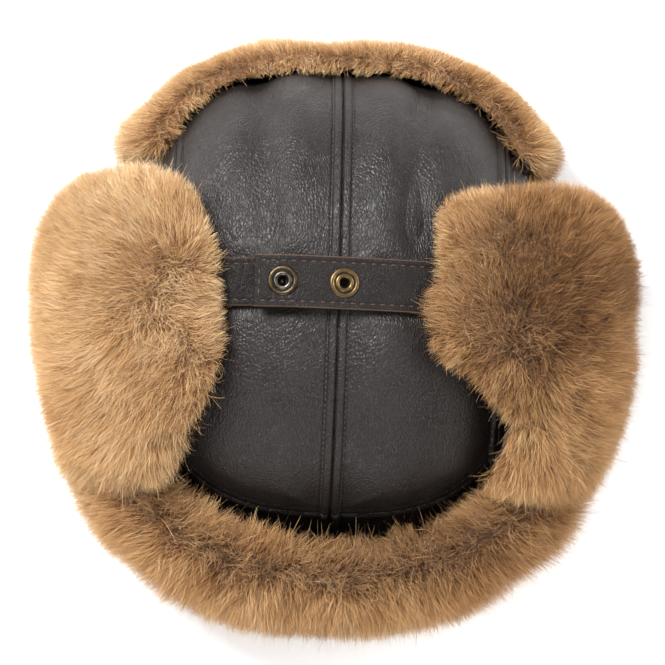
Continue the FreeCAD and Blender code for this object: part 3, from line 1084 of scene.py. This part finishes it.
def visor():
    """The visor's hide and wool."""
    u = np.linspace(-1, 1, 140)
    v = np.linspace(0, 1, 50)
    depth = visor_high[1] - top_high[1]
    low_v = v * VISOR_HIDE_SHARE
    inner = ring_surface(1, u, low_v, visor_levels(VISOR_GAP), PLAN_POWER, VISOR_CUT)
    leather = ring_surface(1, u, low_v, visor_levels(VISOR_GAP + SKIN), PLAN_POWER, VISOR_CUT)
    hide = ring_surface(1, u, v, visor_levels(VISOR_GAP + SKIN), PLAN_POWER, VISOR_CUT)
    outer = ring_surface(1, u, v, visor_levels(depth), PLAN_POWER, VISOR_CUT)
    faces = lipped(inner, leather, crown_reach(inner[0], VISOR_FOLD, False))
    hide_piece("visor_leather_sheet", faces, False, ride_on("visor"), "visor_leather")
    rounding = {"foot": 10.0, "top": 11.0, "start": 8.0, "end": 8.0}
    patch = Patch(hide, outer, rounding, 0.45, "visor_fleece", tuck=0.95, swell=1.5)
    patch.reach = patch.reach * (1 + 0.7 * smooth(0.75, 1.0, np.abs(u)))
    fleece(patch, VISOR_STRANDS, 320, ride_on("visor"), ("visor_wool",), visor_tone)


# ---- the lining and the rim ----
LINING_PILE = 21.0
COARSE = (0.3, 0.6)
RIM_WOOL_TOP = 2.4
# The rim's roll, as (distance out from the crown's wall, height).
RIM_PROFILE = [(-22.0, 3.2), (-21.5, 1.6), (-18.0, 1.0), (-8.0, 1.0), (0.0, 1.0), (2.4, 1.4), (3.0, 3.0)]


def round_crown(turn, half_width, half_length):
    """x and y of a superellipse round the crown's middle."""
    cosine, sine = np.cos(turn), np.sin(turn)
    x = half_width * np.sign(cosine) * np.abs(cosine) ** (2 / PLAN_POWER)
    y = half_length * np.sign(sine) * np.abs(sine) ** (2 / PLAN_POWER)
    return x, CROWN_Y + y


def crown_cavity(inset, turn, levels):
    """A grid inside the crown: rows from the rim to the top, columns by turn round the middle."""
    rows = []
    for share in levels:
        top = CROWN_TOP - inset
        rise = np.sin(share * math.pi / 2)
        z = RIM_TOP + (top - RIM_TOP) * rise
        climb = np.clip((z - WALL_TOP) / (top - WALL_TOP), 0, 1)
        shrink = max((1 - climb**DOME_POWER) ** (1 / DOME_POWER), 0.02)
        x, y = round_crown(turn, (CROWN_A - inset) * shrink, (CROWN_B - inset) * shrink)
        rows.append(np.stack([x, y, np.full_like(x, z)], axis=1))
    return np.array(rows)


def lining(side):
    """Half of the crown's lining."""
    name = SIDES[side]
    turn = np.linspace(-math.pi / 2, math.pi / 2, 120)
    if side < 0:
        turn = math.pi - turn
    levels = np.linspace(0, 0.995, 80)
    skin = crown_cavity(SKIN + 1.0, turn, levels)
    tips = crown_cavity(SKIN + LINING_PILE, turn, levels)
    patch = Patch(skin, tips, {"foot": 10.0}, 0.50, f"{name}_lining", swell=1.0)
    nodes_shown = tuple(f"crown_{name}_{part}_lining" for part in ("top", "side", "back"))
    fleece(patch, LINING_STRANDS, 400 + side, on_crown, nodes_shown, width=COARSE, droop=(0, 0, -0.3))


def rim_fold():
    """The roll of hide that the hat rests on, wool outwards."""
    turn = np.linspace(-math.pi, math.pi, 361)
    rows = []
    for across, height in RIM_PROFILE:
        x, y = round_crown(turn, CROWN_A + across, CROWN_B + across)
        rows.append(np.stack([x, y, np.full_like(x, height)], axis=1))
    under = np.array(rows)
    over = under.copy()
    over[..., 2] = np.maximum(over[..., 2] + 1.6, 3.2)
    piece = new_object("rim_fold_roll", *shell(over, under), [FLEECE])
    settle(piece, on_crown, "wool", "rim_fold")
    patch = Patch(under, under + np.array([0, 0, -0.9]), {}, 0.2, "rim_fold", swell=0.0)
    patch.body = under
    outward = unit(under - np.array([0, CROWN_Y, 0])) * np.array([1, 1, 0])
    patch.way = unit(outward + np.array([0, 0, -0.15]))
    patch.reach = np.full(under.shape[:2], 9.0)
    strands, shade, widths = grow(patch, RIM_STRANDS, 500, COARSE, plain, (0, 0, 0))
    strands[..., 2] = np.minimum(strands[..., 2], RIM_WOOL_TOP)
    points, quads, tones = strand_mesh(strands, shade, widths, np.random.default_rng(501))
    piece = new_object("rim_fold_strands", points, quads, TONES, tones)
    settle(piece, on_crown, "wool")


# ---- straps and snaps ----
PLY = 1.5
STRAP_HALF = (strap_high[1] - strap_low[1]) / 2
UNDER_HALF = (under_high[1] - under_low[1]) / 2
# The straps' undersides from their sewn ends to their free ends, as (x, z).
RIGHT_LINE = [
    (54.0, 133.2), (45.6, 135.4), (26.0, 140.4), (2.0, 144.4),
    (-14.0, 146.5), (-28.0, 146.5), (-42.0, 143.8),
]
LEFT_LINE = [(-64.0, 128.4), (-56.6, 131.1), (-46.0, 134.6), (-28.0, 140.0), (-13.0, 142.2)]
SNAP_X = (-28.0, 2.0)
STRAP_INSET = 3.0
RAW_AND_HIGHLIGHT_WIDTH = 0.45
SNAP_HOLE = 3.2
SNAP_RADIUS = 7.6


def spline(knots, count):
    """A smooth (x, z) curve through knots, evenly spaced."""
    knots = np.array(knots)
    gaps = np.hypot(*np.diff(knots, axis=0).T)
    places = np.r_[0, np.cumsum(gaps)]
    size = len(knots)
    system = np.eye(size)
    pull = np.zeros((size, 2))
    for i in range(1, size - 1):
        system[i, i - 1 : i + 2] = gaps[i - 1], 2 * (gaps[i - 1] + gaps[i]), gaps[i]
        pull[i] = 6 * ((knots[i + 1] - knots[i]) / gaps[i] - (knots[i] - knots[i - 1]) / gaps[i - 1])
    bend = np.linalg.solve(system, pull)
    at = np.linspace(0, places[-1], count)
    span = np.clip(np.searchsorted(places, at, side="right") - 1, 0, size - 2)
    gap, low, high = gaps[span][:, None], (at - places[span])[:, None], (places[span + 1] - at)[:, None]
    first, last = knots[span], knots[span + 1]
    return (
        (bend[span] * high**3 + bend[span + 1] * low**3) / (6 * gap)
        + (first / gap - bend[span] * gap / 6) * high
        + (last / gap - bend[span + 1] * gap / 6) * low
    )


def ply_sheet(line, half_width, levels, holes):
    """One ply of a strap: soft edges, a hollow along the stitches and round the snaps."""
    low, high = levels
    centre = spline(line, 220)
    ahead = unit(np.gradient(centre, axis=0))
    up = np.stack([-ahead[:, 1], ahead[:, 0]], axis=1)
    up *= np.sign(up[:, 1:2])
    steps = np.r_[0, np.cumsum(np.hypot(*np.diff(centre, axis=0).T))]
    left = steps[-1] - steps
    share = np.linspace(-1, 1, 61)
    y = half_width * (share * 1.5 - 0.5 * share**3)
    inset = np.minimum((half_width - np.abs(y))[None, :], left[:, None])
    soft = 0.45 * (1 - np.sqrt(np.maximum(1 - (1 - np.clip(inset / 0.9, 0, 1)) ** 2, 0)))
    seam = 0.32 * np.exp(-(((inset - STRAP_INSET) / 0.7) ** 2))
    top = high - soft - seam
    places = np.stack(np.meshgrid(centre[:, 0], y, indexing="ij"), axis=-1)
    for hole in holes:
        near = np.hypot(places[..., 0] - hole, places[..., 1])
        top = top - 0.25 * np.exp(-(((near - SNAP_RADIUS) / 1.6) ** 2))
    flat = np.stack([places[..., 0], places[..., 1], 0 * places[..., 0]], axis=-1)
    top = top + 0.16 * noise(flat.reshape(-1, 3), 9.0, 31).reshape(top.shape)
    under = low + 0.3 * soft

    def lifted(height):
        x = centre[:, 0, None] + up[:, 0, None] * height
        z = centre[:, 1, None] + up[:, 1, None] * height
        return np.stack([x, np.broadcast_to(CROWN_Y + y, x.shape), z], axis=-1)

    return lifted(top), lifted(under)


def strap_sheet(name, line, half_width, levels, holes, node, place):
    """One ply of a strap, pierced at its snaps, with raw edges and a painted highlight line along the rim
    of its faces; gives back its upper surface.
    """
    top, under = ply_sheet(line, half_width, levels, holes)
    middle = grid_normals(top)[len(top) // 2, 30, 2]
    points, quads = shell(top, under)
    if middle < 0:
        quads = quads[:, ::-1]
    rows, columns = top.shape[:2]
    slots = np.zeros(len(quads), dtype=int)
    slots[2 * (rows - 1) * (columns - 1) :] = 1
    centres = points[quads].mean(axis=1)
    # Quads of both faces within this width of the long edges take the raw-edge colour too; on the top face
    # this is a painted highlight line along the rounded rim.
    slots[np.abs(centres[:, 1] - CROWN_Y) > half_width - RAW_AND_HIGHLIGHT_WIDTH] = 1
    kept = np.ones(len(quads), dtype=bool)
    for hole in holes:
        kept &= np.hypot(centres[:, 0] - hole, centres[:, 1] - CROWN_Y) > SNAP_HOLE
    quads, slots = quads[kept], slots[kept]
    piece = new_object(name, points, quads, [STRAP_LEATHER, RAW_EDGE_AND_HIGHLIGHT], slots)
    settle(piece, place, "strap_leather", node)
    return top


def strap_stitches(name, top, half_width, node, place):
    """Thread round both long edges and the free end of a strap."""
    rows = top.shape[0]
    normals = grid_normals(top)
    normals *= np.sign(normals[..., 2:3])
    y = top[0, :, 1] - CROWN_Y

    def along(place_y):
        return np.array([[np.interp(place_y, y, top[r, :, k]) for k in range(3)] for r in range(rows)])

    def along_normals(place_y):
        return np.array([[np.interp(place_y, y, normals[r, :, k]) for k in range(3)] for r in range(rows)])

    reach = half_width - STRAP_INSET
    steps = np.r_[0, np.cumsum(np.linalg.norm(np.diff(top[:, 30], axis=0), axis=1))]
    end_row = int(np.argmin(np.abs(steps - (steps[-1] - STRAP_INSET))))
    inside = np.abs(y) <= reach + 0.01
    runs = [
        (along(reach)[: end_row + 1], along_normals(reach)[: end_row + 1]),
        (along(-reach)[: end_row + 1], along_normals(-reach)[: end_row + 1]),
        (top[end_row, inside], normals[end_row, inside]),
    ]
    beads = [stitch_run(line, up, *STRAP_STITCH) for line, up in runs]
    piece = new_object(name, *joined(beads), [THREAD])
    settle(piece, place, "thread", node)


def turned(profile, centre, axis, around=64):
    """A ring turned from (radius, height) points about an axis."""
    axis = np.array(axis) / np.linalg.norm(axis)
    aside = unit(np.cross(axis, [0.0, 1.0, 0.0]))
    ahead = np.cross(axis, aside)
    angle = np.linspace(0, 2 * math.pi, around, endpoint=False)
    spokes = np.cos(angle)[:, None] * aside + np.sin(angle)[:, None] * ahead
    rows = [np.array(centre) + axis * height + spokes * radius for radius, height in profile]
    grid = np.array(rows)
    return grid.reshape(-1, 3), grid_quads(len(profile), around, wrap=True)


def on_line(line, x):
    """Point on a strap's underside at x, and the upright direction there."""
    curve = spline(line, 400)
    index = int(np.argmin(np.abs(curve[:, 0] - x)))
    ahead = curve[index + 1] - curve[index - 1]
    up = np.array([-ahead[1], ahead[0]])
    up = up / np.hypot(*up) * np.sign(up[1])
    return np.array([x, CROWN_Y, curve[index, 1]]), np.array([up[0], 0.0, up[1]])


# Profiles of the turned parts, as (radius, height over the strap's face).
FLANGE = [(5.2, -0.1), (5.3, 0.45), (5.6, 0.72), (6.2, 0.80), (6.9, 0.74), (7.4, 0.45), (7.6, -0.2)]
SOCKET = [
    (5.2, -0.2), (5.0, 0.0), (4.8, 0.15), (4.6, 0.55), (4.3, 0.85), (3.8, 0.95), (3.2, 0.9), (2.8, 0.65),
    (2.5, 0.2), (2.2, -0.5), (2.1, -3.2), (2.4, -4.2), (5.6, -4.3), (6.0, -3.9), (6.0, -3.0),
]


STUD = [
    (0.02, 2.6), (1.2, 2.55), (1.75, 2.2), (1.8, 1.2), (1.4, 0.6), (2.2, 0.4), (4.1, 0.4), (4.4, 0.1),
    (4.4, -0.2),
]
RIVET = [(2.8, 0.0), (2.8, -4.2), (0.02, -4.3)]


def snaps():
    """The right strap's two caps and sockets, and the left strap's stud and post."""
    first_nodes = (["right_strap_snap_caps"], ["right_strap_snap_sockets"])
    looks = (("first", OLD_BRASS, GUNMETAL, *first_nodes), ("second", BRASS, BRASS, [], []))
    for x, (name, ring_metal, socket_metal, caps, sockets) in zip(SNAP_X, looks):
        base, up = on_line(RIGHT_LINE, x)
        top = base + up * (2 * PLY - 0.15)
        ring = new_object(f"right_strap_snap_{name}_ring", *turned(FLANGE, top, up), [ring_metal])
        socket = new_object(f"right_strap_snap_{name}_socket", *turned(SOCKET, top, up), [socket_metal])
        settle(ring, strap_place, "snap_brass", *caps)
        settle(socket, strap_place, "snap_steel", *sockets)
    base, up = on_line(LEFT_LINE, SNAP_X[0])
    top = base + up * 2 * PLY
    for profile, node in ((STUD, "left_strap_snap_stud"), (RIVET, "left_strap_snap_post")):
        piece = new_object(f"{node}_turned", *turned(profile, top, up, 40), [GUNMETAL])
        settle(piece, ride_on("left_ear_lobe"), "snap_steel", node)


def strap_place(piece):
    """A placing for the right strap's pieces: it bakes each piece's transform into its mesh."""
    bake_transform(piece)


def strap_tab(side, half_width):
    """The sewn end of a strap, on the inner face of its lobe."""
    name = SIDES[side]
    xs = np.linspace(EAR_TIP[side], EAR_TIP[side] + 27.0, 20)
    ys = np.linspace(-half_width, half_width, 20)
    x, y = np.meshgrid(xs, ys, indexing="ij")
    shrink = ((x / SKIN_BULGE[0]) ** FLAP_PLAN + np.abs(y / SKIN_BULGE[1]) ** FLAP_PLAN) ** (1 / FLAP_PLAN)
    z = BULGE_Z + (SKIN_TOP - BULGE_Z) * (1 - shrink**FLAP_DOME) ** (1 / FLAP_DOME)
    top = np.stack([side * x, CROWN_Y + y, z - 0.15], axis=-1)
    under = np.stack([side * (x - 0.4), CROWN_Y + y, z - PLY], axis=-1)
    points, quads = shell(top, under)
    if side < 0:
        quads = quads[:, ::-1]
    piece = new_object(f"{name}_strap_tab_sheet", points, quads, [STRAP_LEATHER])
    settle(piece, ride_on(f"{name}_ear_lobe"), "strap_leather", f"{name}_strap_tab")


EAR_TIP = {-1: 62.0, 1: 53.0}


def straps():
    """Both straps, their stitching, their sewn ends and the snaps."""
    layouts = (
        ("right", RIGHT_LINE, STRAP_HALF, SNAP_X, strap_place),
        ("left", LEFT_LINE, UNDER_HALF, (), ride_on("left_ear_lobe")),
    )
    for name, line, half_width, holes, place in layouts:
        plies = (
            ("top_ply", PLY + 0.02, 2 * PLY, f"{name}_strap"),
            ("under_ply", 0.0, PLY - 0.08, f"{name}_strap_backing"),
        )
        for ply, low, high, node in plies:
            top = strap_sheet(f"{name}_strap_{ply}", line, half_width, (low, high), holes, node, place)
            if ply == "top_ply":
                thread_node = f"{name}_strap_stitching"
                strap_stitches(f"{name}_strap_thread", top, half_width, thread_node, place)
    strap_tab(1, STRAP_HALF)
    strap_tab(-1, UNDER_HALF)
    snaps()


# ---- the folds between the crown and its flaps ----
def fold(name, near, far):
    """A strip of hide in a U below two rows of points: leather inside the fold and wool outside it."""
    shares = np.linspace(0, 1, 13)
    rows = []
    for share in shares:
        row = near + (far - near) * share
        row[:, 2] = near[:, 2] - (near[:, 2] - FOLD_LOW) * math.sin(math.pi * share) ** 0.7
        rows.append(row)
    inside = np.array(rows)
    normals = grid_normals(inside)
    normals *= np.sign(normals[6, len(near) // 2, 2])
    outside = inside - normals * FOLD_THICKNESS
    outside[..., 2] = np.maximum(outside[..., 2], FLOOR_GAP)
    points, quads = shell(inside, outside)
    slots = np.ones(len(quads), dtype=int)
    slots[: (len(shares) - 1) * (len(near) - 1)] = 0
    piece = new_object(name, points, quads, [LEATHER, FLEECE], slots)
    settle(piece, lambda strip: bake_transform(strip), "leather")


def fold_row(places, direction, outline, sideways):
    """Points just above a fold, on an outline given as (half along, half across, power)."""
    out = direction * on_outline(places, *outline)
    x, y = (out, places) if sideways else (places, out)
    return np.stack([x, CROWN_Y + y, np.full_like(places, FOLD_TOP)], axis=1)


def folds():
    """The folded strips under both ear flaps, the neck flap and the visor."""
    places = np.linspace(-EAR_FOLD, EAR_FOLD, 47)
    for side, name in SIDES.items():
        near = fold_row(places, side, (CROWN_B, CROWN_A, PLAN_POWER), True)
        far = fold_row(places, side, (SKIN_FOOT[1], SKIN_FOOT[0], FLAP_PLAN), True)
        fold(f"{name}_ear_fold", near, far)
    places = np.linspace(-NECK_FOLD, NECK_FOLD, 41)
    near = fold_row(places, -1, (CROWN_A, CROWN_B, PLAN_POWER), False)
    far = fold_row(places, -1, (SKIN_FOOT[0], SKIN_FOOT[1], FLAP_PLAN), False)
    fold("neck_fold", near, far)
    places = np.linspace(-VISOR_FOLD, VISOR_FOLD, 26)
    near = fold_row(places, 1, (CROWN_A, CROWN_B, PLAN_POWER), False)
    far = near + np.array([0, VISOR_GAP, 0])
    fold("visor_fold", near, far)


# ---- the whole hat ----
EAR_STRANDS = 96000
NECK_STRANDS = 96000
VISOR_STRANDS = 54000
LINING_STRANDS = 15000
RIM_STRANDS = 9000

crown_panels()
crown_stitching()
for ear_side in SIDES:
    ear_flap(ear_side)
neck_flap()
visor()
straps()
for lining_side in SIDES:
    lining(lining_side)
rim_fold()
folds()

# ---- camera, light and floor ----
CAMERA_TILT = math.radians(4.8)
CAMERA_LEAN = math.radians(1.2)
CAMERA_TURN = math.radians(1.8)
CAMERA_DISTANCE = 1.77
VIEW_WIDTH = 0.3285
AIM = Vector((-0.0029, -0.0104, 0.148))

back = Vector((-math.sin(CAMERA_LEAN), -math.sin(CAMERA_TILT), 1)).normalized()
up_hint = Vector((-math.sin(CAMERA_TURN), math.cos(CAMERA_TURN), 0))
right = up_hint.cross(back).normalized()
up = back.cross(right)
camera_data = bpy.data.cameras.new("camera")
camera = bpy.data.objects.new("camera", camera_data)
bpy.context.scene.collection.objects.link(camera)
rotation = Matrix((right, up, back)).transposed()
camera.matrix_world = Matrix.Translation(AIM + back * CAMERA_DISTANCE) @ rotation.to_4x4()
camera_data.sensor_width = 36.0
camera_data.lens = camera_data.sensor_width * CAMERA_DISTANCE / VIEW_WIDTH
bpy.context.scene.camera = camera


def area_light(name, place, size, power):
    """A soft round light that shines at the middle of the hat."""
    data = bpy.data.lights.new(name, "AREA")
    data.shape = "DISK"
    data.size = size
    data.energy = power
    lamp = bpy.data.objects.new(name, data)
    lamp.location = place
    lamp.rotation_euler = (Vector((0, 0, 0.05)) - Vector(place)).to_track_quat("-Z", "Y").to_euler()
    bpy.context.scene.collection.objects.link(lamp)


area_light("key", (-0.85, 0.75, 1.5), 0.8, 56)
area_light("fill", (1.3, 0.2, 1.1), 1.0, 13)
area_light("back_fill", (-0.2, -1.5, 1.1), 1.0, 12)
world = bpy.data.worlds.new("studio")
world.use_nodes = True
world.node_tree.nodes["Background"].inputs["Color"].default_value = (1, 1, 1, 1)
world.node_tree.nodes["Background"].inputs["Strength"].default_value = 0.42
bpy.context.scene.world = world
bpy.context.scene.view_settings.view_transform = "Standard"

floor_size = 3000.0
corners = np.array([[-1, -1, 0], [1, -1, 0], [1, 1, 0], [-1, 1, 0]]) * floor_size
floor_material, _, floor_shader = material("floor", (0.94, 0.94, 0.94), 0.9)
floor_shader.inputs["Emission Color"].default_value = (1, 1, 1, 1)
floor_shader.inputs["Emission Strength"].default_value = 0.3
floor = new_object("floor", corners, np.array([[0, 1, 2, 3]]), [floor_material])
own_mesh(floor)
